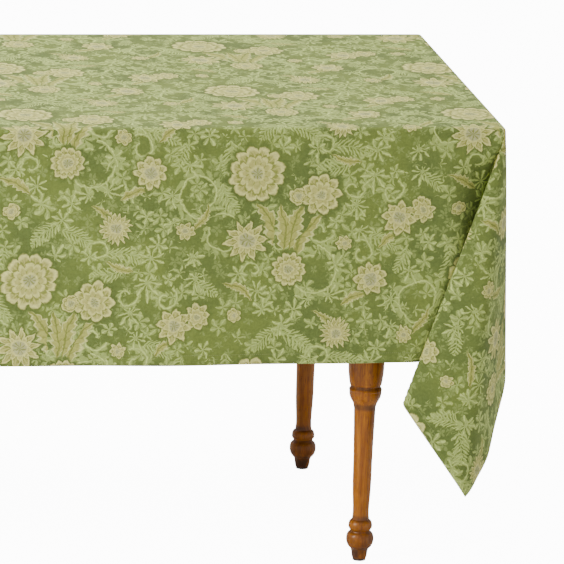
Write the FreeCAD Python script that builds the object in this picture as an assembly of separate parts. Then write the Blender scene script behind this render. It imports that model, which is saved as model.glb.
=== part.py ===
import FreeCAD, Part
import math
import os

# A rectangular dining table with turned legs, dressed with a loose tablecloth.
# Millimetres. +Z up, +X along the table, -Y is the side that faces the room.
# The origin is on the floor, under the middle of the table.

os.makedirs("parts", exist_ok=True)

# ---- driving dimensions -------------------------------------------------
TOP_LENGTH = 1640.0
TOP_WIDTH = 740.0
TOP_THICK = 25.0
TOP_HEIGHT = 750.0
BOARD_COUNT = 5
EDGE_ROUND = 8.0
CORNER_ROUND = 12.0

CLOTH_LENGTH = 2590.0
CLOTH_WIDTH = 1524.0
CLOTH_THICK = 2.0
CLOTH_GAP = 2.5
FOLD_THICK = 28.0
FOLD_ROOT = 4.0
FOLD_LEAN = 20.5
TIP_LEAN = 4.9
FOLD_RAY = 36.7
CORNER_DROP = 560.0
PLEAT_LEAN = 31.5
PLEAT_RISE = 12.0
PLEAT_SPREAD = 23.0
HEM_HEIGHT = 20.0
HEM_THICK = 1.5

LEG_INSET_X = 195.0
LEG_INSET_Y = 88.0
LEG_BLOCK = 62.0
LEG_CHAMFER = 12.0
BLOCK_HEIGHT = 130.0
GLIDE_THICK = 4.0
GLIDE_RADIUS = 11.0
NAIL_RADIUS = 1.5
NAIL_LENGTH = 18.0

APRON_HEIGHT = 95.0
APRON_THICK = 20.0
APRON_SETBACK = 5.0
BRACE_NEAR = 84.0
BRACE_THICK = 22.0
BRACE_HEIGHT = 60.0

BOLT_RADIUS = 4.0
BOLT_START = 12.0
WASHER_RADIUS = 11.0
WASHER_THICK = 2.0
NUT_RADIUS = 7.0
NUT_HEIGHT = 9.0
WING_SPAN = 30.0
WING_THICK = 3.0
SCREW_RADIUS = 2.2
SCREW_HEAD_RADIUS = 4.4
SCREW_HEAD_HEIGHT = 2.6

BATTEN_X = 250.0
BATTEN_WIDTH = 45.0
BATTEN_THICK = 20.0
CLIP_WIDTH = 20.0
CLIP_ARM = 30.0
CLIP_THICK = 2.0

# ---- named clearances ---------------------------------------------------
BORE_GAP = 0.3
END_GAP = 4.0
FOLD_GAP = 0.5
HEAD_GAP = 0.2

# ---- sizes that follow from the ones above ------------------------------
UNDERSIDE = TOP_HEIGHT - TOP_THICK
LEG_X = TOP_LENGTH / 2.0 - LEG_INSET_X
LEG_Y = TOP_WIDTH / 2.0 - LEG_INSET_Y
HALF_BLOCK = LEG_BLOCK / 2.0
APRON_OUT = HALF_BLOCK - APRON_SETBACK
APRON_IN = APRON_OUT - APRON_THICK
APRON_LOW = UNDERSIDE - APRON_HEIGHT
BRACE_FAR = BRACE_NEAR + BRACE_THICK * math.sqrt(2.0)
BRACE_MID_Z = UNDERSIDE - APRON_HEIGHT / 2.0
CLOTH_TOP = TOP_HEIGHT + CLOTH_THICK
DROP_FRONT = (CLOTH_WIDTH - TOP_WIDTH) / 2.0
DROP_END = (CLOTH_LENGTH - TOP_LENGTH) / 2.0
CORNERS = [("front_left", -1, -1), ("front_right", 1, -1),
           ("back_left", -1, 1), ("back_right", 1, 1)]


def save(node, shapes):
    """Write one node as one STEP file; a list of solids becomes a group."""
    if isinstance(shapes, list):
        shape = Part.makeCompound(shapes)
    else:
        shape = shapes
    shape.exportStep("parts/" + node + ".step")


def block(x0, x1, y0, y1, z0, z1):
    """Axis-aligned block from its low and high corners."""
    low = FreeCAD.Vector(min(x0, x1), min(y0, y1), min(z0, z1))
    return Part.makeBox(abs(x1 - x0), abs(y1 - y0), abs(z1 - z0), low)


def prism(points, z0, z1):
    """Upright prism over a closed outline of (x, y) points."""
    loop = [FreeCAD.Vector(x, y, z0) for x, y in points]
    face = Part.Face(Part.makePolygon(loop + [loop[0]]))
    return face.extrude(FreeCAD.Vector(0, 0, z1 - z0))


def rod(start, along, radius, length):
    """Round bar from a start point along a direction."""
    return Part.makeCylinder(radius, length, FreeCAD.Vector(*start), FreeCAD.Vector(*along))


def corner_point(sx, sy, u, v, z):
    """World point from (u, v), measured inward from the leg axis."""
    return (sx * (LEG_X - u), sy * (LEG_Y - v), z)


def inward(sx, sy, u, v):
    """World direction for a direction given inward from the leg axis."""
    return (-sx * u, -sy * v, 0.0)


# ---- table top ----------------------------------------------------------
def batten_screw_lines():
    """Foot point of each batten screw, one per board on both battens."""
    lines = []
    pitch = TOP_WIDTH / BOARD_COUNT
    for side in (-1, 1):
        for index in range(BOARD_COUNT):
            y = -TOP_WIDTH / 2.0 + pitch * (index + 0.5)
            y = max(-batten_half() + 20.0, min(batten_half() - 20.0, y))
            lines.append((side * BATTEN_X, y))
    return lines


def batten_half():
    """Half the length of a batten: it stops short of the aprons."""
    return LEG_Y + APRON_IN - END_GAP


def clip_places():
    """Position and outward direction of each angle clip inside the aprons."""
    places = []
    long_face = LEG_Y + APRON_IN
    end_face = LEG_X + APRON_IN
    for sy in (-1, 1):
        for x in (-0.55 * LEG_X, 0.0, 0.55 * LEG_X):
            places.append((x, sy * long_face, 0, sy))
    for sx in (-1, 1):
        places.append((sx * end_face, 0.0, sx, 0))
    return places


def clip_screw_lines():
    """Start and direction of the two screws of each clip."""
    lines = []
    reach = CLIP_ARM * 0.6
    for x, y, ox, oy in clip_places():
        up_start = (x - ox * reach, y - oy * reach, UNDERSIDE - CLIP_THICK)
        lines.append((up_start, (0.0, 0.0, 1.0), 14.0))
        side_start = (x - ox * CLIP_THICK, y - oy * CLIP_THICK, UNDERSIDE - reach)
        lines.append((side_start, (float(ox), float(oy), 0.0), 14.0))
    return lines


def screw(start, along, length):
    """Pan-head screw: the head sits against the face, the shank goes in."""
    direction = FreeCAD.Vector(*along)
    direction.normalize()
    begin = FreeCAD.Vector(*start)
    shank = Part.makeCylinder(SCREW_RADIUS, length, begin, direction)
    back = begin - direction * SCREW_HEAD_HEIGHT
    head = Part.makeCylinder(SCREW_HEAD_RADIUS, SCREW_HEAD_HEIGHT, back, direction)
    return head.fuse(shank).removeSplitter()


def bore(start, along, length):
    """Hole for a screw, a little wider and deeper than the shank."""
    direction = FreeCAD.Vector(*along)
    direction.normalize()
    begin = FreeCAD.Vector(*start) - direction * 1.0
    return Part.makeCylinder(SCREW_RADIUS + BORE_GAP, length + 2.0, begin, direction)


def top_boards():
    """Boards running the length of the table, with rounded corners and top edges."""
    pitch = TOP_WIDTH / BOARD_COUNT
    half = TOP_LENGTH / 2.0
    whole = block(-half, half, -TOP_WIDTH / 2.0, TOP_WIDTH / 2.0, UNDERSIDE, TOP_HEIGHT)
    upright = [edge for edge in whole.Edges
               if abs(edge.Vertexes[0].Z - edge.Vertexes[-1].Z) > 1.0]
    whole = whole.makeFillet(CORNER_ROUND, upright)
    rim = [edge for edge in whole.Edges
           if all(abs(vertex.Z - TOP_HEIGHT) < 0.01 for vertex in edge.Vertexes)]
    whole = whole.makeFillet(EDGE_ROUND, rim)
    cutters = []
    for x, y in batten_screw_lines():
        cutters.append(bore((x, y, UNDERSIDE - BATTEN_THICK), (0, 0, 1), BATTEN_THICK + 14.0))
    for start, along, length in clip_screw_lines():
        if along[2] > 0.5:
            cutters.append(bore(start, along, length))
    whole = whole.cut(Part.makeCompound(cutters))
    boards = []
    for index in range(BOARD_COUNT):
        low = -TOP_WIDTH / 2.0 + pitch * index
        slab = block(-half - 5.0, half + 5.0, low, low + pitch, UNDERSIDE - 5.0, TOP_HEIGHT + 5.0)
        boards.append(whole.common(slab).Solids[0])
    return boards


def batten(side):
    """Cross batten under the boards, bored for its screws."""
    x = side * BATTEN_X
    half = batten_half()
    body = block(x - BATTEN_WIDTH / 2.0, x + BATTEN_WIDTH / 2.0, -half, half,
                 UNDERSIDE - BATTEN_THICK, UNDERSIDE)
    for line_x, line_y in batten_screw_lines():
        if abs(line_x - x) < 1.0:
            body = body.cut(bore((line_x, line_y, UNDERSIDE - BATTEN_THICK), (0, 0, 1), 40.0))
    return body


# ---- turned legs --------------------------------------------------------
def leg_outline():
    """Radius and height of the turning, from the toe up to the square block."""
    top = UNDERSIDE - BLOCK_HEIGHT
    low = [(11.5, GLIDE_THICK), (12.5, 7.0), (13.2, 12.0), (15.6, 21.0)]
    ball = [(20.5, 27.0), (22.6, 33.0), (22.9, 39.0), (21.6, 45.0), (17.6, 49.5)]
    ring = [(16.6, 51.5), (19.0, 55.5), (19.8, 61.0), (18.4, 66.5), (14.4, 70.5)]
    shaft = [(13.8, 76.0), (14.6, 110.0), (15.8, 170.0), (17.0, 225.0), (17.8, 254.0)]
    flare = [(18.6, 264.0), (21.0, 271.0), (24.4, 277.0), (26.3, 283.0), (26.6, 290.0)]
    groove = [(25.8, 295.0), (24.4, 297.5), (26.2, 300.0), (27.0, 304.0)]
    drum = [(27.0, 400.0), (25.6, 450.0), (22.6, 495.0), (19.6, 520.0), (19.0, 530.0)]
    crown = [(22.5, 536.0), (25.6, 543.0), (25.6, 550.0), (22.5, 557.0), (20.5, 560.0),
             (22.0, 567.0), (25.5, 577.0), (29.0, 588.0), (30.0, top)]
    return low + ball + ring + shaft + flare + groove + drum + crown


def spline(points):
    """Smooth edge through (radius, height) points."""
    curve = Part.BSplineCurve()
    curve.interpolate([FreeCAD.Vector(r, 0, z) for r, z in points])
    return curve.toShape()


def turning():
    """Turned part of a leg about the Z axis."""
    outline = leg_outline()
    breaks = [3, 8, 13, 18, 23, 26, 31, 36, len(outline) - 1]
    edges = []
    first = 0
    for last in breaks:
        edges.append(spline(outline[first:last + 1]))
        first = last
    top = FreeCAD.Vector(0, 0, outline[-1][1])
    foot = FreeCAD.Vector(0, 0, outline[0][1])
    tip = FreeCAD.Vector(outline[-1][0], 0, outline[-1][1])
    toe = FreeCAD.Vector(outline[0][0], 0, outline[0][1])
    edges.append(Part.makeLine(tip, top))
    edges.append(Part.makeLine(top, foot))
    edges.append(Part.makeLine(foot, toe))
    face = Part.Face(Part.Wire(Part.__sortEdges__(edges)))
    return face.revolve(FreeCAD.Vector(0, 0, 0), FreeCAD.Vector(0, 0, 1), 360.0)


def leg(sx, sy):
    """Turned leg with a square block, its inner corner cut flat for the bolt."""
    x = sx * LEG_X
    y = sy * LEG_Y
    head = block(x - HALF_BLOCK, x + HALF_BLOCK, y - HALF_BLOCK, y + HALF_BLOCK,
                 UNDERSIDE - BLOCK_HEIGHT, UNDERSIDE)
    nose = HALF_BLOCK - LEG_CHAMFER
    outline = [(HALF_BLOCK + 1.0, nose - 1.0), (HALF_BLOCK + 1.0, HALF_BLOCK + 1.0),
               (nose - 1.0, HALF_BLOCK + 1.0)]
    points = [corner_point(sx, sy, u, v, 0)[:2] for u, v in outline]
    head = head.cut(prism(points, UNDERSIDE - BLOCK_HEIGHT - 1.0, UNDERSIDE + 1.0))
    body = turning()
    body.translate(FreeCAD.Vector(x, y, 0))
    body = body.fuse(head)
    start = corner_point(sx, sy, 0, 0, BRACE_MID_Z)
    hole = rod(start, inward(sx, sy, 1, 1), BOLT_RADIUS + BORE_GAP, 80.0)
    keep = rod(start, inward(sx, sy, 1, 1), BOLT_RADIUS + 5.0, BOLT_START - 1.0)
    nail = rod((x, y, 0), (0, 0, 1), NAIL_RADIUS + BORE_GAP, GLIDE_THICK + NAIL_LENGTH + 1.0)
    return body.cut(hole.cut(keep)).cut(nail)


def glide(sx, sy):
    """Nail-on floor glide: a low domed pad and its nail in one piece."""
    x = sx * LEG_X
    y = sy * LEG_Y
    pad = rod((x, y, 0), (0, 0, 1), GLIDE_RADIUS, GLIDE_THICK)
    rim = [edge for edge in pad.Edges if edge.BoundBox.ZMax < 0.01 and edge.Length > 5.0]
    pad = pad.makeFillet(GLIDE_THICK * 0.4, rim)
    nail = rod((x, y, GLIDE_THICK - 0.5), (0, 0, 1), NAIL_RADIUS, NAIL_LENGTH + 0.5)
    return pad.fuse(nail).removeSplitter()


# ---- frame under the top ------------------------------------------------
def brace_screw_lines(sx, sy):
    """Start and direction of the four screws of one corner brace."""
    lines = []
    back = 8.0
    for z in (BRACE_MID_Z - BRACE_HEIGHT * 0.3, BRACE_MID_Z + BRACE_HEIGHT * 0.3):
        for u, v in ((BRACE_FAR - back, back), (back, BRACE_FAR - back)):
            start = corner_point(sx, sy, u, v, z)
            lines.append((start, inward(sx, sy, -1, -1), 38.0))
    return lines


def apron_bores():
    """Every screw hole that enters the aprons."""
    cutters = []
    for name, sx, sy in CORNERS:
        for start, along, length in brace_screw_lines(sx, sy):
            cutters.append(bore(start, along, length))
    for start, along, length in clip_screw_lines():
        if abs(along[2]) < 0.5:
            cutters.append(bore(start, along, length))
    return Part.makeCompound(cutters)


def apron_long(sy):
    """Long apron between two leg blocks."""
    outer = sy * (LEG_Y + APRON_OUT)
    inner = sy * (LEG_Y + APRON_IN)
    half = LEG_X - HALF_BLOCK
    return block(-half, half, outer, inner, APRON_LOW, UNDERSIDE).cut(apron_bores())


def apron_end(sx):
    """Short apron between two leg blocks."""
    outer = sx * (LEG_X + APRON_OUT)
    inner = sx * (LEG_X + APRON_IN)
    half = LEG_Y - HALF_BLOCK
    return block(outer, inner, -half, half, APRON_LOW, UNDERSIDE).cut(apron_bores())


def brace(sx, sy):
    """Corner brace set across the two aprons behind a leg."""
    face = -APRON_IN
    outline = [(BRACE_NEAR - face, face), (BRACE_FAR - face, face),
               (face, BRACE_FAR - face), (face, BRACE_NEAR - face)]
    points = [corner_point(sx, sy, u, v, 0)[:2] for u, v in outline]
    body = prism(points, BRACE_MID_Z - BRACE_HEIGHT / 2.0, BRACE_MID_Z + BRACE_HEIGHT / 2.0)
    start = corner_point(sx, sy, 20.0, 20.0, BRACE_MID_Z)
    cutters = [rod(start, inward(sx, sy, 1, 1), BOLT_RADIUS + BORE_GAP, 120.0)]
    for screw_start, along, length in brace_screw_lines(sx, sy):
        cutters.append(bore(screw_start, along, length))
    return body.cut(Part.makeCompound(cutters))


def along_bolt(sx, sy, distance):
    """Point on the bolt axis at a distance from the leg axis."""
    step = distance / math.sqrt(2.0)
    return corner_point(sx, sy, step, step, BRACE_MID_Z)


def bolt_end():
    """Distance from the leg axis to the free end of the bolt."""
    return BRACE_FAR / math.sqrt(2.0) + WASHER_THICK + NUT_HEIGHT + 6.0


def hanger_bolt(sx, sy):
    """Headless bolt screwed into the leg and sticking out through the brace."""
    length = bolt_end() - BOLT_START
    return rod(along_bolt(sx, sy, BOLT_START), inward(sx, sy, 1, 1), BOLT_RADIUS, length)


def washer(sx, sy):
    """Flat washer against the inner face of the brace."""
    start = along_bolt(sx, sy, BRACE_FAR / math.sqrt(2.0))
    ring = rod(start, inward(sx, sy, 1, 1), WASHER_RADIUS, WASHER_THICK)
    return ring.cut(rod(start, inward(sx, sy, 1, 1), BOLT_RADIUS + BORE_GAP, WASHER_THICK * 3))


def wing_nut(sx, sy):
    """Hub with two wings, turned by hand onto the bolt."""
    distance = BRACE_FAR / math.sqrt(2.0) + WASHER_THICK
    start = along_bolt(sx, sy, distance)
    hub = rod(start, inward(sx, sy, 1, 1), NUT_RADIUS, NUT_HEIGHT)
    depth = NUT_HEIGHT * 0.8
    wing = Part.makeBox(depth, WING_THICK, WING_SPAN)
    wing.translate(FreeCAD.Vector(NUT_HEIGHT * 0.2, -WING_THICK / 2.0, -WING_SPAN / 2.0))
    angle = math.degrees(math.atan2(-sy, -sx))
    wing.rotate(FreeCAD.Vector(0, 0, 0), FreeCAD.Vector(0, 0, 1), angle)
    wing.translate(FreeCAD.Vector(*start))
    bolt_hole = rod(along_bolt(sx, sy, distance - 5.0), inward(sx, sy, 1, 1),
                    BOLT_RADIUS + BORE_GAP, NUT_HEIGHT + 20.0)
    return hub.fuse(wing).cut(bolt_hole).removeSplitter()


def clip(x, y, ox, oy):
    """Angle clip: one arm under the top, one arm against the apron."""
    half = CLIP_WIDTH / 2.0
    if ox == 0:
        upper = block(x - half, x + half, y, y - oy * CLIP_ARM, UNDERSIDE - CLIP_THICK, UNDERSIDE)
        side = block(x - half, x + half, y, y - oy * CLIP_THICK, UNDERSIDE - CLIP_ARM, UNDERSIDE)
    else:
        upper = block(x, x - ox * CLIP_ARM, y - half, y + half, UNDERSIDE - CLIP_THICK, UNDERSIDE)
        side = block(x, x - ox * CLIP_THICK, y - half, y + half, UNDERSIDE - CLIP_ARM, UNDERSIDE)
    body = upper.fuse(side).removeSplitter()
    cutters = [bore(start, along, length) for start, along, length in clip_screw_lines()]
    return body.cut(Part.makeCompound(cutters))


# ---- tablecloth ---------------------------------------------------------
def cloth_top():
    """Flat middle of the cloth lying on the boards."""
    return block(-outer_x(), outer_x(), -outer_y(), outer_y(), TOP_HEIGHT, CLOTH_TOP)


def cloth_drop_long(sy):
    """Hanging part of the cloth along a long side."""
    inner = TOP_WIDTH / 2.0 + CLOTH_GAP
    half = outer_x()
    low = CLOTH_TOP - DROP_FRONT
    return block(-half, half, sy * inner, sy * (inner + CLOTH_THICK), low, TOP_HEIGHT)


def cloth_drop_end(sx):
    """Hanging part of the cloth at an end, between the two long drops."""
    inner = TOP_LENGTH / 2.0 + CLOTH_GAP
    half = TOP_WIDTH / 2.0 + CLOTH_GAP - FOLD_GAP
    low = CLOTH_TOP - DROP_END
    return block(sx * inner, sx * (inner + CLOTH_THICK), -half, half, low, TOP_HEIGHT)


def fold_outline():
    """Corner flap seen square on: (inward, down) from the table corner."""
    ray = DROP_FRONT / math.cos(math.radians(FOLD_RAY))
    tip = math.hypot(DROP_FRONT, DROP_END)
    lean = math.radians(FOLD_LEAN)
    hang = math.radians(TIP_LEAN)
    crease = (ray * math.sin(lean), ray * math.cos(lean))
    point = (tip * math.sin(hang), tip * math.cos(hang))
    return [(0.0, 0.0), crease, point, (0.0, CORNER_DROP)]


def side_prism(points, y0, y1):
    """Prism over a closed outline of (x, z) points, from y0 to y1."""
    loop = [FreeCAD.Vector(x, y0, z) for x, z in points]
    face = Part.Face(Part.makePolygon(loop + [loop[0]]))
    return face.extrude(FreeCAD.Vector(0, y1 - y0, 0))


def end_prism(points, x0, x1):
    """Prism over a closed outline of (y, z) points, from x0 to x1."""
    loop = [FreeCAD.Vector(x0, y, z) for y, z in points]
    face = Part.Face(Part.makePolygon(loop + [loop[0]]))
    return face.extrude(FreeCAD.Vector(x1 - x0, 0, 0))


def wedge_profile(inner, sign):
    """Side profile of a loose fold: thin at the top, thick at its lowest point."""
    lowest = fold_outline()[2][1]
    return [(inner, CLOTH_TOP), (inner + sign * FOLD_ROOT, CLOTH_TOP),
            (inner + sign * FOLD_THICK, CLOTH_TOP - lowest), (inner, CLOTH_TOP - lowest)]


def outer_x():
    """Outer face of the end drops."""
    return TOP_LENGTH / 2.0 + CLOTH_GAP + CLOTH_THICK


def outer_y():
    """Outer face of the long drops."""
    return TOP_WIDTH / 2.0 + CLOTH_GAP + CLOTH_THICK


def cloth_fold(sx, sy):
    """Loose corner of the cloth, folded flat against a long side."""
    points = [(sx * (outer_x() - across), CLOTH_TOP - down) for across, down in fold_outline()]
    inner = sy * (outer_y() + FOLD_GAP)
    slab = side_prism(points, inner, inner + sy * FOLD_THICK)
    return slab.common(end_prism(wedge_profile(inner, sy), -sx * 10.0, sx * (outer_x() + 10.0)))


def pleat_outline():
    """Pleat at an end seen square on: (inward, down) from the table corner."""
    lean = math.radians(PLEAT_LEAN)
    rise = math.radians(PLEAT_RISE)
    reach = DROP_END / math.cos(math.radians(PLEAT_SPREAD))
    return [(0.0, 0.0), (DROP_END * math.sin(lean), DROP_END * math.cos(lean)),
            (reach * math.sin(rise), reach * math.cos(rise)), (0.0, CORNER_DROP)]


def cloth_pleat(sx, sy):
    """Soft pleat beside a corner, lying against the end drop."""
    points = [(sy * (outer_y() - across), CLOTH_TOP - down) for across, down in pleat_outline()]
    inner = sx * (outer_x() + FOLD_GAP)
    slab = end_prism(points, inner, inner + sx * FOLD_THICK)
    return slab.common(side_prism(wedge_profile(inner, sx), -sy * 10.0, sy * (outer_y() + 10.0)))


def hem_long(sy):
    """Turned-up hem behind the lower edge of a long drop."""
    outer = TOP_WIDTH / 2.0 + CLOTH_GAP
    half = TOP_LENGTH / 2.0
    low = CLOTH_TOP - DROP_FRONT
    return block(-half, half, sy * (outer - HEM_THICK), sy * outer, low, low + HEM_HEIGHT)


def hem_end(sx):
    """Turned-up hem behind the lower edge of an end drop, between its pleats."""
    outer = TOP_LENGTH / 2.0 + CLOTH_GAP
    half = TOP_WIDTH / 2.0 - pleat_outline()[2][0]
    low = CLOTH_TOP - DROP_END
    return block(sx * (outer - HEM_THICK), sx * outer, -half, half, low, low + HEM_HEIGHT)


def hem_corner(sx, sy):
    """Hem of a corner flap, running down to the tip and up again."""
    line = fold_outline()[1:]
    low = [(sx * (outer_x() - across), CLOTH_TOP - down) for across, down in line]
    high = [(x, z + HEM_HEIGHT * 1.3) for x, z in low]
    inner = sy * (outer_y() + FOLD_GAP + FOLD_THICK)
    return side_prism(low + high[::-1], inner, inner + sy * HEM_THICK)


def write_table():
    """Write every piece of the wooden table."""
    for index, board in enumerate(top_boards()):
        save("top_board_%d" % (index + 1), board)
    save("batten_left", batten(-1))
    save("batten_right", batten(1))
    save("apron_front", apron_long(-1))
    save("apron_back", apron_long(1))
    save("apron_left", apron_end(-1))
    save("apron_right", apron_end(1))
    for name, sx, sy in CORNERS:
        save("leg_" + name, leg(sx, sy))
        save("glide_" + name, glide(sx, sy))
        save("brace_" + name, brace(sx, sy))


def write_hardware():
    """Write the fasteners, each kind as one group of separate solids."""
    signs = [(sx, sy) for name, sx, sy in CORNERS]
    save("hanger_bolts", [hanger_bolt(sx, sy) for sx, sy in signs])
    save("washers", [washer(sx, sy) for sx, sy in signs])
    save("wing_nuts", [wing_nut(sx, sy) for sx, sy in signs])
    braces = [line for sx, sy in signs for line in brace_screw_lines(sx, sy)]
    save("brace_screws", [screw(*line) for line in braces])
    save("top_clips", [clip(*place) for place in clip_places()])
    save("clip_screws", [screw(*line) for line in clip_screw_lines()])
    feet = [((x, y, UNDERSIDE - BATTEN_THICK), (0, 0, 1), BATTEN_THICK + 12.0)
            for x, y in batten_screw_lines()]
    save("batten_screws", [screw(*line) for line in feet])


def write_cloth():
    """Write the tablecloth in simple closed pieces."""
    save("cloth_top", cloth_top())
    for name, sy in (("front", -1), ("back", 1)):
        save("cloth_drop_" + name, cloth_drop_long(sy))
        save("hem_" + name, hem_long(sy))
    for name, sx in (("left", -1), ("right", 1)):
        save("cloth_drop_" + name, cloth_drop_end(sx))
        save("hem_" + name, hem_end(sx))
    for name, sx, sy in CORNERS:
        save("cloth_fold_" + name, cloth_fold(sx, sy))
        save("cloth_pleat_" + name, cloth_pleat(sx, sy))
        save("hem_corner_" + name, hem_corner(sx, sy))


write_table()
write_hardware()
write_cloth()
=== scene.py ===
# %% [markdown]
# # A tablecloth on a table
# The wooden table comes from the packed solids. The cloth is one flat sheet that is
# folded over the table: flat on top, hanging on four sides, with the spare cloth of
# each corner laid over the front or the back as a flap.

# %% Load the frame
import math

import bpy
import numpy as np
from mathutils import Matrix, Vector


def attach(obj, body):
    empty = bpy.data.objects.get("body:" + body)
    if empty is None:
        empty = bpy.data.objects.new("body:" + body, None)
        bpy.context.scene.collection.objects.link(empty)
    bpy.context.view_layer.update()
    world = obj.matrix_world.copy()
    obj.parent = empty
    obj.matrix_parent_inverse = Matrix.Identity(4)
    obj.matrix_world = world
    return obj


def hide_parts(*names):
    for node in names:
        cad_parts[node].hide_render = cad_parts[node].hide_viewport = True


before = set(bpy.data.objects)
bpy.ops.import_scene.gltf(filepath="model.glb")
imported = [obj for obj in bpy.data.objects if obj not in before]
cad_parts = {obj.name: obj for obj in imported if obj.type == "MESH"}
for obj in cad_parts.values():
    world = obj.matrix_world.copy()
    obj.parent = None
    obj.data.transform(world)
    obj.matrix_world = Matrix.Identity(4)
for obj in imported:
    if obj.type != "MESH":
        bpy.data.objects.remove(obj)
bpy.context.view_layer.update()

# %% [markdown]
# ## Sizes
# All sizes are in metres. The table top is 1.64 by 0.74 m and 0.75 m high. The cloth
# hangs down 392 mm on the long sides and 475 mm at the ends. It lies a hair above the
# wood, because the mesh is the middle of a cotton that has a thickness, and it hangs a
# few millimetres out from the table's edge.

# %% Sizes of the cloth and the table
HALF_TOP_X = 0.820
HALF_TOP_Y = 0.370
TOP_Z = 0.750
DROP_LONG = 0.392
DROP_END = 0.475
LIFT = 0.0012
STAND_OFF = 0.0030
HALF_CLOTH_X = HALF_TOP_X + DROP_END
HALF_CLOTH_Y = HALF_TOP_Y + DROP_LONG
print("flat cloth", 2 * HALF_CLOTH_X, "x", 2 * HALF_CLOTH_Y, "m")

# %% [markdown]
# ## How cloth goes round a corner
# At a table corner the spare cloth has to go somewhere. Cotton hardly stretches, so a
# straight line from the table corner out over the flat cloth stays straight and keeps
# its length, and only the direction it hangs in changes. The corner is then one line of
# directions on a ball: out along the drop, in under the corner, back as a flap, and
# round to the other drop. There are 270 degrees of cloth round the corner, so the line
# has to be just that long, and the depth of the fold and of the pleat are adjusted
# until it is. A cloth simulation would also fold the corner, but it wouldn't put the
# flap where this one hangs.

# %% A rounded line
def smooth_line(points, steps):
    """A rounded line from control points: every corner is cut off at a quarter of both its sides, again
    and again.
    """
    line = np.array(points, float)
    for _ in range(steps):
        start = 0.75 * line[:-1] + 0.25 * line[1:]
        end = 0.25 * line[:-1] + 0.75 * line[1:]
        cut = np.stack([start, end], axis=1).reshape(-1, 2)
        line = np.concatenate([line[:1], cut, line[-1:]])
    return line


print("rounded line of", len(smooth_line([(0, 0), (1, 0), (1, 1)], 5)), "points from three")


# %% The directions round one corner
def ray_line(ridge, inner, pleat):
    """Directions that the cloth takes around one table corner. Each is a pair of angles in degrees from
    straight down: outward past the end, and outward past the long side. The line starts on the long
    drop, dips in under the corner as far as the inner fold, comes back to the ridge of the flap,
    returns as the flap, turns the corner, and makes one pleat on the end drop.
    """
    front = [(-60, 0), (-45, 0), (-36, 0), (-28, 0), (-24, 0), (ridge - 2.2, 0), (ridge + 0.6, -0.1)]
    dip = [(ridge + 3.4, -1.6), (-13.5, -5.2), (-9.5, 0.42 * inner - 1.6), (-4.2, 0.8 * inner - 0.6),
           (-2.0, inner), (-1.0, inner - 0.4), (-0.8, inner + 0.7), (-3.2, 0.8 * inner + 0.8),
           (-8.5, 0.42 * inner + 0.6), (-14.5, -1.6)]
    flap = [(ridge + 1.6, 0.3), (ridge + 0.2, 0.7), (ridge - 0.4, 1.3), (ridge + 0.4, 1.9), (ridge + 3, 2.3),
            (-12, 2.8), (-6.5, 2.8), (-4.2, 2.4), (-2.7, 0.5)]
    turn = [(0.8, -5.6), (4.2, -12.6), (6.7, -19), (7.6, -25.5), (6.8, pleat + 3), (5.2, pleat + 0.4),
            (3.4, pleat - 0.3), (1.8, pleat + 0.6), (1.0, pleat + 4), (0.9, -18.6), (0.7, -16.6)]
    end = [(0.3, -16.2), (0.1, -17.4), (0, -20), (0, -27), (0, -38), (0, -48), (0, -60)]
    return front + dip + flap + turn + end


print("directions of one corner", len(ray_line(-18.6, -20, -31)))


# %% Angles into directions
def to_sphere(line):
    """Unit directions from pairs of angles: the tangents of the two angles, with one for straight down.
    """
    a = np.tan(np.radians(line[:, 0]))
    b = np.tan(np.radians(line[:, 1]))
    d = np.stack([a, b, np.ones_like(a)], axis=1)
    return d / np.linalg.norm(d, axis=1)[:, None]


def lay_out(line):
    """Angle swept so far along the directions, in degrees, starting at -60."""
    d = to_sphere(line)
    step = np.linalg.norm(np.diff(d, axis=0), axis=1)
    return -60 + np.degrees(np.concatenate([[0], np.cumsum(2 * np.arcsin(step / 2))])), d


print("45 degrees outward is the direction", to_sphere(np.array([(45.0, 0.0)])).round(3))


# %% The four corners
def corner_rays(ridge, share):
    """Directions against the angle in the flat cloth. The inner fold is as deep as it takes to bring
    the ridge to its share of the spare cloth, and the pleat is as deep as it takes to use up the rest.
    """
    inner, pleat = -20.0, -31.0
    for _ in range(40):
        line = smooth_line(ray_line(ridge, inner, pleat), 5)
        swept, d = lay_out(line)
        at_ridge = swept[np.argmin(line[:, 0] + 100 * (swept < 0))]
        inner += 0.4 * (at_ridge - share)
        pleat += 0.4 * (swept[-1] - 150)
    return swept, d, round(inner, 1), round(pleat, 1)


# Ridge angles of the four corner flaps: each corner hangs a little differently.
RIDGES = {(1, -1): (-18.6, 35.6), (-1, -1): (-18.0, 38.0), (1, 1): (-20.0, 36.9), (-1, 1): (-19.3, 37.6)}
RAYS = {key: corner_rays(*value) for key, value in RIDGES.items()}
print("inner folds and pleats", {key: value[2:] for key, value in RAYS.items()})


# %% [markdown]
# ## Folding the flat cloth
# The sheet starts flat, and every point of it is sent to its place over the table. A
# point over the top stays flat. For a point beyond the edge, its distance from the
# nearest table corner is kept, and its angle there picks a direction from the corner's
# line. The folded flap pulls one soft dent into the drop beside it, which is added as a
# product of four soft steps.

# %% Folding the flat cloth
DENT = 0.024


def ease(x):
    """A soft step from 0 to 1: three times the square less twice the cube."""
    inside = np.clip(x, 0, 1)
    return inside * inside * (3 - 2 * inside)


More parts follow.
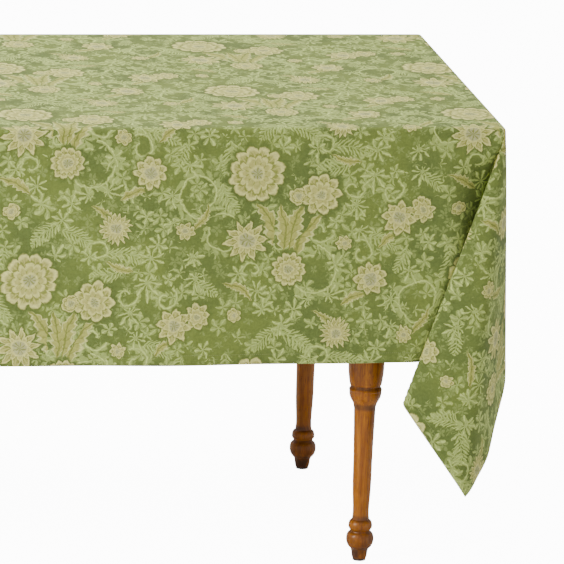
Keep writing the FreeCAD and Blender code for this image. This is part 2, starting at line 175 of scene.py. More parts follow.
def fold(u, v):
    """Place of each point of the flat cloth. The middle lies flat. Elsewhere the point's distance from
    the table corner is kept, and its angle there is turned into a direction, so nothing stretches.
    """
    x = np.zeros_like(u)
    y = np.zeros_like(u)
    z = np.zeros_like(u)
    for (sx, sy), (swept, d, *_) in RAYS.items():
        mine = ((u >= 0) == (sx > 0)) & ((v >= 0) == (sy > 0))
        p = np.abs(u[mine]) - HALF_TOP_X
        q = np.abs(v[mine]) - HALF_TOP_Y
        r = np.hypot(p, q)
        angle = np.degrees(np.arctan2(p, q))
        angle = np.where(angle < -90, angle + 360, angle)
        rays = [np.interp(angle, swept, d[:, k]) for k in range(3)]
        flat_front = angle <= -60
        flat_end = angle >= 150
        out = np.where(flat_front, p, np.where(flat_end, 0, r * rays[0]))
        side = np.where(flat_front, 0, np.where(flat_end, q, r * rays[1]))
        down = np.where(flat_front, q, np.where(flat_end, p, r * rays[2]))
        dent = (ease((p + 0.080) / 0.034) * ease((q - 0.032) / 0.050)
                * ease((0.240 - q) / 0.100) * ease((8 - angle) / 15))
        side = side - DENT * dent
        top = (p <= 0) & (q <= 0)
        out = np.where(top, p, out)
        side = np.where(top, q, side)
        down = np.where(top, 0, down)
        x[mine] = sx * (HALF_TOP_X + STAND_OFF + out)
        y[mine] = sy * (HALF_TOP_Y + STAND_OFF + side)
        z[mine] = TOP_Z + LIFT - down
    return np.stack([x, y, z], axis=-1)


print("hem at the middle of the front", fold(np.array([0.0]), np.array([-HALF_CLOTH_Y])).round(3))

# %% [markdown]
# ## Waves and round bends
# Hanging cotton is never quite flat: long shallow waves run through it and grow
# towards the hem. A fold in it isn't sharp either. So the place of a point is averaged
# with the places of its neighbours in a disc of 9 mm radius, which rounds the bends
# by about that much and leaves the flat parts as they are.


# %% Hanging waves and round bends
def hang(points):
    """Broad shallow waves of the hanging cloth. Each is a sine along the edge that grows with the depth
    below the top, and it moves every layer there by the same amount.
    """
    x, y, z = np.moveaxis(points, -1, 0)
    low = np.clip((TOP_Z - 0.03 - z) / DROP_LONG, 0, 1.4)
    front = np.clip((np.abs(y) - HALF_TOP_Y + 0.06) / 0.06, 0, 1) ** 2
    end = np.clip((np.abs(x) - HALF_TOP_X + 0.06) / 0.06, 0, 1) ** 2 * (1 - front)
    along = 0.0040 * np.sin(9.1 * x + 1.1 + 2.0 * np.sign(y)) + 0.0022 * np.sin(23.0 * x + 3.0 * z)
    across = 0.0044 * np.sin(13.0 * y + 0.7) + 0.0022 * np.sin(31.0 * y + 4.0 * z)
    y = y + np.sign(y) * low * front * along
    x = x + np.sign(x) * low * end * across
    return np.stack([x, y, z], axis=-1)


def soft_fold(u, v, radius=0.009):
    """The folded cloth with rounded bends: each point is the mean of its neighbours' places within a
    small disc.
    """
    total = fold(u, v)
    weight = 1.0
    for share, count, turn in ((0.5, 8, 0.0), (0.9, 12, 0.26)):
        for k in range(count):
            a = turn + 2 * math.pi * k / count
            total = total + fold(u + share * radius * math.cos(a), v + share * radius * math.sin(a))
            weight += 1.0
    return hang(total / weight)


print("soft hem at the middle of the front", soft_fold(np.array([0.0]), np.array([-HALF_CLOTH_Y])).round(3))

# %% [markdown]
# ## The sheet as a mesh
# The sheet is a grid of squares, wide on the flat top and fine at the bends and in the
# drops, where the shape changes fast. Its map holds the flat cloth's own metres, so the
# print follows the yarn through every fold. Solidify gives it the thickness of cotton,
# and its back and its rim take the second finish, which is the wrong side.


# %% The cloth
def stations(half_top, half_cloth, wide, fine):
    """Positions across half the cloth: wide steps on the flat, fine steps at the bend and in the
    hanging part.
    """
    flat = np.linspace(0, half_top - 0.03, int((half_top - 0.03) / wide) + 1)
    bend = np.linspace(half_top - 0.03, half_top + 0.02, 16)[1:]
    drop = np.linspace(half_top + 0.02, half_cloth, int((half_cloth - half_top - 0.02) / fine) + 1)[1:]
    half = np.concatenate([flat, bend, drop])
    return np.concatenate([-half[:0:-1], half])


def grid_mesh(name, points, uv):
    """A mesh of squares over a grid of points, with the flat cloth's own metres as its map."""
    rows, cols = points.shape[:2]
    index = np.arange(rows * cols).reshape(rows, cols)
    corners = [index[:-1, :-1], index[1:, :-1], index[1:, 1:], index[:-1, 1:]]
    quads = np.stack(corners, axis=-1).reshape(-1, 4)
    mesh = bpy.data.meshes.new(name)
    mesh.vertices.add(rows * cols)
    mesh.vertices.foreach_set("co", points.reshape(-1).astype(np.float32))
    mesh.loops.add(quads.size)
    mesh.loops.foreach_set("vertex_index", quads.reshape(-1))
    mesh.polygons.add(len(quads))
    mesh.polygons.foreach_set("loop_start", np.arange(0, quads.size, 4))
    mesh.update(calc_edges=True)
    layer = mesh.uv_layers.new(name="cloth")
    layer.data.foreach_set("uv", uv.reshape(-1, 2)[quads.reshape(-1)].reshape(-1).astype(np.float32))
    mesh.polygons.foreach_set("use_smooth", np.ones(len(quads), bool))
    obj = bpy.data.objects.new(name, mesh)
    bpy.context.scene.collection.objects.link(obj)
    return obj


WIDE_STEP = 0.018
FINE_STEP = 0.0066
us = stations(HALF_TOP_X, HALF_CLOTH_X, WIDE_STEP, FINE_STEP)
vs = stations(HALF_TOP_Y, HALF_CLOTH_Y, WIDE_STEP, FINE_STEP)
U, V = np.meshgrid(us, vs, indexing="ij")
cloth_points = soft_fold(U, V)
cloth = grid_mesh("cloth_sheet", cloth_points, np.stack([U, V], axis=-1))
thick = cloth.modifiers.new("thickness", "SOLIDIFY")
thick.thickness = 0.0008
thick.offset = 0
thick.material_offset = 1
thick.material_offset_rim = 1
print("cloth grid", U.shape)
print("cloth box", cloth_points.reshape(-1, 3).min(0).round(3), cloth_points.reshape(-1, 3).max(0).round(3))

# %% [markdown]
# ## The hem
# The edge of a tablecloth is turned up to the wrong side and sewn down. The turned band
# is a strip that follows the folded sheet at a small distance on its wrong side, with
# mitred corners. The same folding function places it, so the hem goes through every
# fold together with the cloth.

# %% Hem band
HEM_WIDTH = 0.020


def around(inset, steps):
    """Points of the rectangle that lies inset from the cloth's edge, going round it once, with the same
    share of each side at every inset.
    """
    half_x = HALF_CLOTH_X - inset
    half_y = HALF_CLOTH_Y - inset
    long = np.linspace(-1, 1, steps)[:-1]
    short = np.linspace(-1, 1, int(steps * HALF_CLOTH_Y / HALF_CLOTH_X))[:-1]
    one = np.ones_like(long)
    few = np.ones_like(short)
    u = np.concatenate([long * half_x, few * half_x, -long * half_x, -few * half_x])
    v = np.concatenate([-one * half_y, short * half_y, one * half_y, -short * half_y])
    return u, v


def right_side(u, v):
    """Unit normal of the folded sheet on its right side: the cross product of its two tangents."""
    step = 0.002
    du = soft_fold(u + step, v) - soft_fold(u - step, v)
    dv = soft_fold(u, v + step) - soft_fold(u, v - step)
    n = np.cross(du, dv)
    return n / (np.linalg.norm(n, axis=-1)[..., None] + 1e-12)


# Each row of the band: how far in from the cloth's edge, and how far behind the sheet.
rows = [(-0.0003, 0.0), (0.0006, 0.0009), (0.005, 0.0010), (0.010, 0.0010), (0.015, 0.0010),
        (HEM_WIDTH - 0.0004, 0.0009), (HEM_WIDTH + 0.0002, 0.0002)]
lines = [around(inset, 520) for inset, _ in rows]
band_u = np.stack([u for u, _ in lines])
band_v = np.stack([v for _, v in lines])
behind = np.array([depth for _, depth in rows])[:, None, None]
band = soft_fold(band_u, band_v) - behind * right_side(band_u, band_v)
band = np.concatenate([band, band[:, :1]], axis=1)
band_map = np.stack([band_u, band_v], axis=-1)
band_map = np.concatenate([band_map, band_map[:, :1]], axis=1)
hem = grid_mesh("hem_band", band, band_map)
fold_over = hem.modifiers.new("thickness", "SOLIDIFY")
fold_over.thickness = 0.0006
fold_over.offset = 0
print("hem band", band.shape[:2])

# %% [markdown]
# ## The stitches
# The hem is sewn with a straight machine stitch. On the right side each stitch is a
# short bead of thread, which dives into the cloth at both ends. There are more than two
# thousand of them, so each is a lozenge of only twelve faces.

# %% Stitches
STITCH_LINE = 0.0165
STITCH_LENGTH = 0.0034
THREAD_WIDTH = 0.0006
THREAD_RISE = 0.0003


def thread_mesh(name, start, end, up, width, rise):
    """One lozenge for each stitch: a point at both ends, and two square rings between them that stand
    up from the cloth.
    """
    along = end - start
    aside = np.cross(along, up)
    aside = aside / (np.linalg.norm(aside, axis=-1)[:, None] + 1e-12) * width / 2
    ring = [aside, up * rise, -aside, -up * rise]
    middle = [start + 0.25 * along, start + 0.75 * along]
    rings = [m + up * width + r for m in middle for r in ring]
    points = [start + 0.04 * along] + rings + [start + 0.96 * along]
    points = np.stack(points, axis=1)
    tips = [(0, 2, 1), (0, 3, 2), (0, 4, 3), (0, 1, 4), (9, 5, 6), (9, 6, 7), (9, 7, 8), (9, 8, 5)]
    sides = [(1, 2, 6, 5), (2, 3, 7, 6), (3, 4, 8, 7), (4, 1, 5, 8)]
    base = 10 * np.arange(len(start))
    faces = [tuple(int(b) + k for k in face) for b in base for face in tips + sides]
    mesh = bpy.data.meshes.new(name)
    mesh.from_pydata(points.reshape(-1, 3).tolist(), [], faces)
    mesh.polygons.foreach_set("use_smooth", np.ones(len(faces), bool))
    obj = bpy.data.objects.new(name, mesh)
    bpy.context.scene.collection.objects.link(obj)
    return obj


def sew(inset, length):
    """Start and end of each stitch of a line of even stitches, at a distance in from the cloth's edge."""
    starts = []
    ends = []
    for half_along, half_other, swap in ((HALF_CLOTH_X - inset, HALF_CLOTH_Y - inset, False),
                                         (HALF_CLOTH_Y - inset, HALF_CLOTH_X - inset, True)):
        count = int(2 * half_along / length)
        t = np.linspace(-half_along, half_along, count + 1)
        for other in (-half_other, half_other):
            fixed = np.full(count, other)
            for store, along in ((starts, t[:-1]), (ends, t[1:])):
                store.append(np.stack([fixed, along] if swap else [along, fixed]))
    return np.concatenate(starts, axis=1), np.concatenate(ends, axis=1)


sew_start, sew_end = sew(STITCH_LINE, STITCH_LENGTH)
stitch_up = right_side(*((sew_start + sew_end) / 2))
stitches = thread_mesh("hem_stitches", soft_fold(*sew_start), soft_fold(*sew_end), stitch_up,
                       THREAD_WIDTH, THREAD_RISE)
print("stitches", sew_start.shape[1])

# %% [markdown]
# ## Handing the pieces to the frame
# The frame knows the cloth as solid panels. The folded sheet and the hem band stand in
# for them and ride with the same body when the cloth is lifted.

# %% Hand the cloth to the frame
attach(cloth, "tablecloth")
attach(hem, "tablecloth")
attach(stitches, "tablecloth")
CLOTH_NODES = sorted(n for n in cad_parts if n.startswith("cloth_"))
HEM_NODES = sorted(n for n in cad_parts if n.startswith("hem_"))
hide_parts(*CLOTH_NODES)
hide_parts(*HEM_NODES)
print("the sheet stands for", len(CLOTH_NODES), "panels and the band for", len(HEM_NODES))

# %% [markdown]
# ## Numbers on wires
# A procedural finish is a chain of small sums on the place of each point. Each sum is
# one Math node, and a long chain of nodes is hard to read in code. This helper class
# lets the sums be written with ordinary signs instead: every + or * adds one Math node
# and returns its output, so the code reads like the formula.

# %% A helper for node sums
def plug(tree, value, socket):
    """Link a wire into a socket, or set the socket when the value is a plain number."""
    if isinstance(value, Wire):
        tree.links.new(value.socket, socket)
    else:
        socket.default_value = value


class Wire:
    """One output of a node. Signs and methods add a node each and return its output."""

    def __init__(self, tree, socket):
        self.tree = tree
        self.socket = socket

    def math(self, what, *others):
        """One sum of this wire with others, by the name of the sum."""
        node = self.tree.nodes.new("ShaderNodeMath")
        node.operation = what
        for value, socket in zip((self, *others), node.inputs):
            plug(self.tree, value, socket)
        return Wire(self.tree, node.outputs[0])

    def __add__(self, other):
        return self.math("ADD", other)

    def __sub__(self, other):
        return self.math("SUBTRACT", other)

    def __mul__(self, other):
        return self.math("MULTIPLY", other)

    def __truediv__(self, other):
        return self.math("DIVIDE", other)

    def wave(self, period):
        """A triangle wave: 0 at each multiple of the period, 1 half way between."""
        return self.math("PINGPONG", period / 2) * (2 / period)

    def fade(self, low, high):
        """A soft switch: 0 at low, 1 at high, smooth between. Low may be the larger."""
        node = self.tree.nodes.new("ShaderNodeMapRange")
        node.interpolation_type = "SMOOTHSTEP"
        for value, socket in zip((self, low, high, 0.0, 1.0), node.inputs):
            plug(self.tree, value, socket)
        return Wire(self.tree, node.outputs[0])

    def vector(self, what, *others):
        """One sum with whole vectors. Lengths and products come out as a number."""
        node = self.tree.nodes.new("ShaderNodeVectorMath")
        node.operation = what
        sockets = [node.inputs[0], node.inputs["Scale"]] if what == "SCALE" else node.inputs
        for value, socket in zip((self, *others), sockets):
            plug(self.tree, value, socket)
        name = "Value" if what in ("LENGTH", "DISTANCE", "DOT_PRODUCT") else "Vector"
        return Wire(self.tree, node.outputs[name])

    def parts(self):
        """The three numbers of a vector."""
        node = self.tree.nodes.new("ShaderNodeSeparateXYZ")
        plug(self.tree, self, node.inputs[0])
        return [Wire(self.tree, socket) for socket in node.outputs]

    def turned(self, angle):
        """The vector turned about Z by an angle in radians."""
        node = self.tree.nodes.new("ShaderNodeVectorRotate")
        node.rotation_type = "Z_AXIS"
        plug(self.tree, self, node.inputs["Vector"])
        plug(self.tree, angle, node.inputs["Angle"])
        return Wire(self.tree, node.outputs[0])


print("wires can", [name for name in vars(Wire) if not name.startswith("_")])

# %% [markdown]
# ## Groups
# A group is a drawing that is made once and used in many places, with its own inputs
# each time, like a rubber stamp. These four helpers mix two values, open a group, close
# it, and stamp it into another tree.


# %% Mixing and groups
def mixed(share, first, second, kind="RGBA"):
    """First where the share is 0, second where it is 1, for colours or vectors."""
    tree = share.tree
    node = tree.nodes.new("ShaderNodeMix")
    node.data_type = kind
    mine = [socket for socket in node.inputs if socket.enabled]
    plug(tree, share, mine[0])
    plug(tree, first, mine[1])
    plug(tree, second, mine[2])
    return Wire(tree, next(socket for socket in node.outputs if socket.enabled))


def new_group(name, inputs, outputs):
    """An empty shader group with named sockets. Gives the group, its input wires and its output node.
    """
    tree = bpy.data.node_groups.new(name, "ShaderNodeTree")
    for way, sockets in (("INPUT", inputs), ("OUTPUT", outputs)):
        for label, kind in sockets.items():
            tree.interface.new_socket(label, in_out=way, socket_type="NodeSocket" + kind)
    source = tree.nodes.new("NodeGroupInput")
    wires = [Wire(tree, socket) for socket in source.outputs if socket.name]
    return tree, wires, tree.nodes.new("NodeGroupOutput")


def close_group(tree, target, *values):
    """Link the results of a group to its output sockets."""
    for value, socket in zip(values, target.inputs):
        plug(tree, value, socket)


def use_group(tree, group, *values):
    """Place a group in another tree with its own values. Gives its outputs."""
    node = tree.nodes.new("ShaderNodeGroup")
    node.node_tree = group
    for value, socket in zip(values, node.inputs):
        plug(tree, value, socket)
    return [Wire(tree, socket) for socket in node.outputs]


print("helpers for groups ready")

# %% [markdown]
# ## The repeat of the print
# Printed cloth repeats. This design steps across in columns 365 mm wide, and each
# column starts half a repeat higher than the last, so that no row of flowers lines up:
# printers call it a half drop. The group below brings a point of the cloth to the
# nearest copy of one motif, turns and scales it to that motif, and keeps it if it is
# closer than the motifs tried before it. A chain of these groups finds the nearest
# motif out of a list, so each kind of motif is drawn only once.

# %% The nearest motif of a list
COLUMN = 0.365
HALF_DROP = 0.176
REPEAT = 0.352


def nearest_motif_group():
    """Place wrapped to the half drop lattice: the column is the rounded x over the column width, y
    moves by the half drop for each column, and wraps at the repeat.
    """
    tree, (cloth, place, turn, size, traits, best, best_traits, best_distance), out = new_group(
        "nearest motif",
        {"Cloth": "Vector", "Place": "Vector", "Turn": "Float", "Size": "Float", "Traits": "Vector",
         "Best": "Vector", "Best traits": "Vector", "Best distance": "Float"},
        {"Best": "Vector", "Best traits": "Vector", "Best distance": "Float"})
    offset = cloth.vector("SUBTRACT", place)
    column = (offset.parts()[0] / COLUMN).math("ROUND")
    step = tree.nodes.new("ShaderNodeCombineXYZ")
    step.inputs[0].default_value = COLUMN
    step.inputs[1].default_value = HALF_DROP
    near = offset.vector("SUBTRACT", Wire(tree, step.outputs[0]).vector("SCALE", column))
    near = near.vector("WRAP", (1.0, REPEAT / 2, 1.0), (-1.0, -REPEAT / 2, -1.0))
    local = near.turned(turn).vector("SCALE", size.math("POWER", -1.0))
    distance = local.vector("LENGTH")
    closer = distance.math("LESS_THAN", best_distance)
    close_group(tree, out, mixed(closer, best, local, "VECTOR"),
                mixed(closer, best_traits, traits, "VECTOR"), mixed(closer, best_distance, distance, "FLOAT"))
    return tree


NEAREST = nearest_motif_group()


def nearest_of(tree, cloth, motifs):
    """Chain the group over (x, y, turn in degrees, radius, three traits). Gives the place inside the
    nearest motif, and that motif's traits.
    """
    best, traits, distance = (9.0, 9.0, 0.0), (5.0, 0.0, 0.0), 99.0
    for x, y, turn, size, trait in motifs:
        best, traits, distance = use_group(tree, NEAREST, cloth, (x, y, 0.0), math.radians(turn), size,
                                           trait, best, traits, distance)
    return best, traits


print("nearest motif", len(NEAREST.nodes), "nodes")

# %% [markdown]
# ## Flowers
# Each motif has the same inputs: a place whose middle is the motif's own, with the motif
# one unit in radius, and three traits that differ from one motif to the next. The
# flowers of such a print are drawn the way a pattern maker draws them: a pale outline,
# petals in cream, a second ring of petals inside, thin olive lines between the petals
# and a greyer heart. With the angle round the flower's middle a petal is a triangle
# wave, and the flower's edge is a radius that depends on that wave.


# %% Flower shape
MOTIF_INPUTS = {"Local": "Vector", "Traits": "Vector"}
LEAF_OUTPUTS = {"Leaf": "Float", "Line": "Float"}


def polar(local):
    """Radius and angle (in whole turns) of a local place."""
    x, y, _ = local.parts()
    return local.vector("LENGTH"), y.math("ARCTAN2", x) / math.tau


def flower_group():
    """The petal edge is a base radius plus a share of a round arch of the petal wave, or of the wave
    itself for pointed petals. The inner ring is the same, smaller and turned by half a petal. Seams,
    veins and the line under the ring are soft switches on the same radii.
    """
    masks = {name: "Float" for name in ("Petals", "Rim", "Lines", "Heart", "Halo")}
    tree, (local, traits), out = new_group("flower", MOTIF_INPUTS, masks)
    petals, pointed, heart_size = traits.parts()
    r, angle = polar(local)
    wave = (angle * petals).wave(1.0)
    arch = (wave * (wave * -1.0 + 2.0)).math("SQRT")
    edge = mixed(pointed, arch * 0.24 + 0.76, wave * 0.48 + 0.52, "FLOAT")
    rho = r / edge
    inside = rho.fade(1.04, 0.95)
    valley = wave * -1.0 + 1.0
    inner_arch = (valley * (wave + 1.0)).math("SQRT")
    inner_edge = mixed(pointed, inner_arch * 0.2 + 0.42, valley * 0.34 + 0.34, "FLOAT")
    inner = r / inner_edge
    ring = (inner - 0.93).math("ABSOLUTE").fade(0.16, 0.05)
    rim = inside * rho.fade(0.80, 0.90)
    seam = wave.fade(0.26, 0.08) * inner.fade(1.0, 1.1) * rho.fade(0.98, 0.85)
    ripples = (angle * petals * 4.0).wave(1.0)
    veins = ripples.fade(0.5, 0.9) * inner.fade(1.0, 1.25) * rho.fade(0.92, 0.7) * 0.7
    inner_seam = valley.fade(0.30, 0.1) * inner.fade(0.92, 0.8) * inner.fade(0.35, 0.5)
    under = (inner - 1.14).math("ABSOLUTE").fade(0.14, 0.04)
    lines = seam.math("MAXIMUM", veins).math("MAXIMUM", inner_seam * 0.8).math("MAXIMUM", under * 0.9)
    heart = (r - heart_size).fade(0.03, -0.03)
    dots = ((angle * 8.0).wave(1.0) + r * 2.0).fade(0.9, 0.6)
    heart_ring = (r - heart_size).math("ABSOLUTE").fade(0.07, 0.02)
    rim = rim.math("MAXIMUM", ring * 0.85).math("MAXIMUM", heart_ring * 0.8) * inside
    lines = (lines * (heart * -1.0 + 1.0)).math("MAXIMUM", heart * dots * 0.8) * inside
    close_group(tree, out, inside, rim, lines, heart, rho.fade(1.32, 1.06))
    return tree


FLOWER = flower_group()
print("flower", len(FLOWER.nodes), "nodes")

# %% [markdown]
# ## Leaves, stars and curls
# Leaves are the same idea along a stem: a wave along it gives the leaflets or the
# lobes, and a hump of the distance from it gives their tips. A star uses the wave round
# its middle. A curl is a line whose radius grows with the angle, like a snail shell.


# %% The spray
def spray_group():
    """A stem along x from -1 to 1, arched by its bend. Leaflets slant forward: their wave runs along
    the stem less the distance from it, and a hump of that distance gives each leaflet its tip.
    """
    tree, (local, traits), out = new_group("spray", MOTIF_INPUTS, LEAF_OUTPUTS)
    x, y, _ = local.parts()
    count, bend, reach = traits.parts()
    room = (x * x) * -1.0 + 1.0
    side = y - bend * room
    off = side.math("ABSOLUTE")
    along = off / (reach * (room.math("MAXIMUM", 0.0).math("SQRT") + 0.001))
    hump = (along * (along * -1.0 + 1.0)).math("MAXIMUM", 0.0) * 4.0
    wave = ((x - off + side.math("SIGN") * 0.12) * count).wave(1.0)
    leaflet = (wave - (hump * -0.82 + 1.0)).fade(0.0, 0.15) * room.fade(0.0, 0.02)
    vein = wave.fade(0.76, 0.95) * leaflet
    stem = off.fade(0.055, 0.025) * room.fade(0.0, 0.05)
    close_group(tree, out, leaflet.math("MAXIMUM", stem), vein)
    return tree


SPRAY = spray_group()
print("spray", len(SPRAY.nodes), "nodes")


# %% The broad leaf
def broad_leaf_group():
    """One broad leaf along x from -1 to 1. Its half width is a long arch times a saw of the length,
    which gives the lobes, and veins slant from the midrib.
    """
    masks = {name: "Float" for name in ("Leaf", "Rim", "Line")}
    tree, (local, traits), out = new_group("broad leaf", MOTIF_INPUTS, masks)
    x, y, _ = local.parts()
    lobes, bend, reach = traits.parts()
    room = (x * x) * -1.0 + 1.0
    off = (y - bend * room).math("ABSOLUTE")
    saw = ((x - off * 0.7) * lobes).wave(1.0)
    width = reach * (room.math("MAXIMUM", 0.0) * (x * -0.35 + 0.9) + 0.02) * (saw * 0.42 + 0.58)
    share = off / width
    leaf = share.fade(1.06, 0.94) * room.fade(0.0, 0.03)
    rim = leaf * share.fade(0.66, 0.84)
    veins = ((x - off * 0.9) * lobes + 0.5).wave(1.0).fade(0.72, 0.95) * share.fade(0.8, 0.5) * 0.7
    line = veins.math("MAXIMUM", off.fade(0.05, 0.02)) * leaf
    close_group(tree, out, leaf, rim, line)
    return tree


BROAD_LEAF = broad_leaf_group()
print("broad leaf", len(BROAD_LEAF.nodes), "nodes")


# %% The star
def star_group():
    """Separate narrow petals: a hump along the radius gives each petal both its tips."""
    tree, (local, traits), out = new_group("star", MOTIF_INPUTS, LEAF_OUTPUTS)
    petals, fan, fat = traits.parts()
    r, angle = polar(local)
    long = mixed(fan, 1.0, angle.math("ABSOLUTE") * -1.6 + 1.1, "FLOAT")
    m = r / long
    hump = (m * (m * -1.0 + 1.0)).math("MAXIMUM", 0.0) * 4.0
    wave = (angle * petals + 0.5).wave(1.0)
    petal = (wave - (hump * fat * -1.0 + 1.0)).fade(0.0, 0.15)
    heart = (r - 0.14).fade(0.05, -0.03)
    close_group(tree, out, petal.math("MAXIMUM", heart), wave.fade(0.74, 0.94) * petal)
    return tree


STAR = star_group()
print("star", len(STAR.nodes), "nodes")


# %% The curl
def curl_group():
    """A tendril: the radius of its line grows in even steps with the angle, so it winds in like a snail
    shell. Small leaves sit on its outside.
    """
    tree, (local, traits), out = new_group("curl", MOTIF_INPUTS, LEAF_OUTPUTS)
    start, growth, thick = traits.parts()
    r, angle = polar(local)
    outside = r - (start + growth * (angle + 0.5))
    line = outside.math("ABSOLUTE")
    band = (line / thick).fade(1.1, 0.7)
    hump = (outside * (outside * -3.6 + 1.0)).math("MAXIMUM", 0.0) * 14.0
    leaflet = ((angle * 13.0 - r * 2.0).wave(1.0) - (hump * -0.8 + 1.0)).fade(0.0, 0.18)
    close_group(tree, out, band.math("MAXIMUM", leaflet), (line / thick).fade(0.45, 0.2))
    return tree


CURL = curl_group()
print("curl", len(CURL.nodes), "nodes")

# %% [markdown]
# ## Where the motifs sit
# Each line is one motif of the repeat: its place on the cloth in metres from the middle
# of the top, its turn in degrees clockwise, its radius, and three traits. The places lie
# on the front drop, where the design is easiest to judge, and the lattice carries each
# to all its copies over the whole cloth.

# %% Flowers
# Flowers: petals, pointed (0 to 1), radius of the heart.
FLOWERS = [
    (0.414, -0.445, 90, 0.046, (12, 0.0, 0.24)),
    (0.520, -0.480, 20, 0.035, (9, 0.25, 0.26)),
    (0.482, -0.482, 0, 0.015, (6, 0.0, 0.35)),
    (0.400, -0.556, 10, 0.037, (10, 0.9, 0.36)),
    (0.471, -0.603, 0, 0.028, (12, 0.1, 0.28)),
    (0.650, -0.520, 30, 0.030, (8, 0.6, 0.34)),
    (0.688, -0.505, 60, 0.022, (8, 0.3, 0.26)),
    (0.606, -0.620, 0, 0.028, (9, 0.35, 0.40)),
    (0.552, -0.711, 0, 0.027, (16, 0.7, 0.34)),
    (0.560, -0.561, 0, 0.014, (7, 0.4, 0.30)),
    (0.383, -0.681, 0, 0.013, (6, 0.2, 0.35)),
    (0.665, -0.715, 0, 0.016, (8, 0.5, 0.30)),
]
print("flowers in one repeat", len(FLOWERS))

# %% Sprays and broad leaves
# Sprays: half the leaflets of a side, bend, reach.
SPRAYS = [
    (0.365, -0.420, 100, 0.030, (4.0, 0.20, 0.50)),
    (0.372, -0.485, 60, 0.030, (4.5, -0.2, 0.45)),
    (0.489, -0.727, 30, 0.030, (4.5, 0.15, 0.50)),
    (0.438, -0.722, 140, 0.030, (4.5, -0.15, 0.50)),
    (0.625, -0.563, 20, 0.030, (4.5, 0.2, 0.45)),
    (0.540, -0.430, 165, 0.032, (4.5, 0.2, 0.45)),
    (0.655, -0.590, 110, 0.022, (3.5, 0.1, 0.55)),
    (0.565, -0.760, 10, 0.032, (4.5, 0.2, 0.45)),
    (0.700, -0.462, 30, 0.024, (3.5, 0.2, 0.5)),
]
# Broad leaves: half the lobes of a side, bend, reach. A turn of -90 points up the drop.
LEAVES = [
    (0.432, -0.532, -118, 0.043, (3.0, -0.25, 0.50)),
    (0.458, -0.534, -97, 0.040, (3.0, -0.10, 0.44)),
    (0.482, -0.532, -74, 0.042, (3.0, 0.15, 0.44)),
    (0.505, -0.546, -55, 0.042, (3.0, 0.30, 0.46)),
    (0.640, -0.555, -35, 0.026, (3.5, 0.20, 0.34)),
    (0.386, -0.640, -150, 0.030, (3.5, -0.20, 0.32)),
    (0.585, -0.655, -20, 0.028, (3.5, 0.20, 0.32)),
    (0.530, -0.690, -140, 0.026, (3.5, -0.20, 0.32)),
    (0.560, -0.420, -165, 0.026, (3.5, 0.20, 0.32)),
    (0.690, -0.690, -60, 0.028, (3.5, -0.20, 0.32)),
]
print("sprays and broad leaves in one repeat", len(SPRAYS), len(LEAVES))

# %% Stars and fans
# Stars and fans: petals, fan (0 or 1), how fat a petal is.
STARS = [
    (0.611, -0.407, 20, 0.024, (8, 0.0, 0.62)),
    (0.606, -0.447, 90, 0.032, (9, 1.0, 0.68)),
    (0.547, -0.594, 10, 0.017, (6, 0.0, 0.78)),
    (0.480, -0.669, 40, 0.018, (6, 0.0, 0.78)),
    (0.464, -0.697, 0, 0.020, (7, 0.0, 0.72)),
    (0.430, -0.671, -90, 0.025, (7, 1.0, 0.78)),
    (0.572, -0.655, 0, 0.016, (6, 0.0, 0.75)),
    (0.670, -0.608, 60, 0.022, (7, 1.0, 0.75)),
    (0.545, -0.525, 0, 0.013, (5, 0.0, 0.85)),
    (0.620, -0.738, 15, 0.018, (7, 0.0, 0.72)),
    (0.455, -0.404, -60, 0.022, (7, 1.0, 0.75)),
    (0.700, -0.560, 0, 0.016, (6, 0.0, 0.75)),
    (0.600, -0.690, 30, 0.015, (5, 0.0, 0.85)),
    (0.387, -0.612, 0, 0.017, (6, 0.0, 0.75)),
    (0.510, -0.404, 30, 0.016, (6, 0.0, 0.75)),
    (0.640, -0.442, 0, 0.013, (5, 0.0, 0.85)),
    (0.678, -0.405, 80, 0.024, (9, 1.0, 0.55)),
    (0.684, -0.442, 100, 0.026, (9, 1.0, 0.55)),
    (0.580, -0.498, 95, 0.027, (9, 1.0, 0.58)),
    (0.588, -0.540, 60, 0.022, (8, 1.0, 0.60)),
    (0.505, -0.655, 200, 0.022, (8, 1.0, 0.60)),
    (0.538, -0.648, -20, 0.024, (8, 1.0, 0.60)),
    (0.640, -0.655, 70, 0.024, (9, 1.0, 0.58)),
    (0.644, -0.700, 110, 0.020, (7, 1.0, 0.62)),
    (0.421, -0.640, 15, 0.020, (8, 0.0, 0.62)),
]
print("stars and fans in one repeat", len(STARS))

# %% Curls
# Curls: first radius, growth over a turn, thickness.
CURLS = [
    (0.521, -0.540, 200, 0.026, (0.15, 0.75, 0.12)),
    (0.508, -0.608, 100, 0.046, (0.60, 0.35, 0.06)),
    (0.452, -0.562, 20, 0.024, (0.20, 0.70, 0.12)),
    (0.635, -0.476, 120, 0.024, (0.20, 0.70, 0.12)),
    (0.412, -0.606, 300, 0.022, (0.20, 0.70, 0.12)),
    (0.590, -0.578, 60, 0.026, (0.25, 0.65, 0.12)),
    (0.690, -0.655, 240, 0.044, (0.50, 0.45, 0.06)),
    (0.525, -0.750, 0, 0.024, (0.25, 0.65, 0.12)),
    (0.572, -0.470, 150, 0.022, (0.25, 0.65, 0.12)),
    (0.360, -0.545, 30, 0.040, (0.55, 0.40, 0.06)),
]
print("motifs in one repeat", len(FLOWERS) + len(LEAVES) + len(SPRAYS) + len(STARS) + len(CURLS))

# %% [markdown]
# ## Small leaves and the weave
# Between the drawn motifs the print is filled with small sprigs. A Voronoi texture
# gives scattered points, and its colour gives each a turn and a size of its own. The
# cloth is a plain weave of cotton yarn: fine ridges both ways, with slubs, the thicker
# runs of a yarn, that also take a little more or less dye.


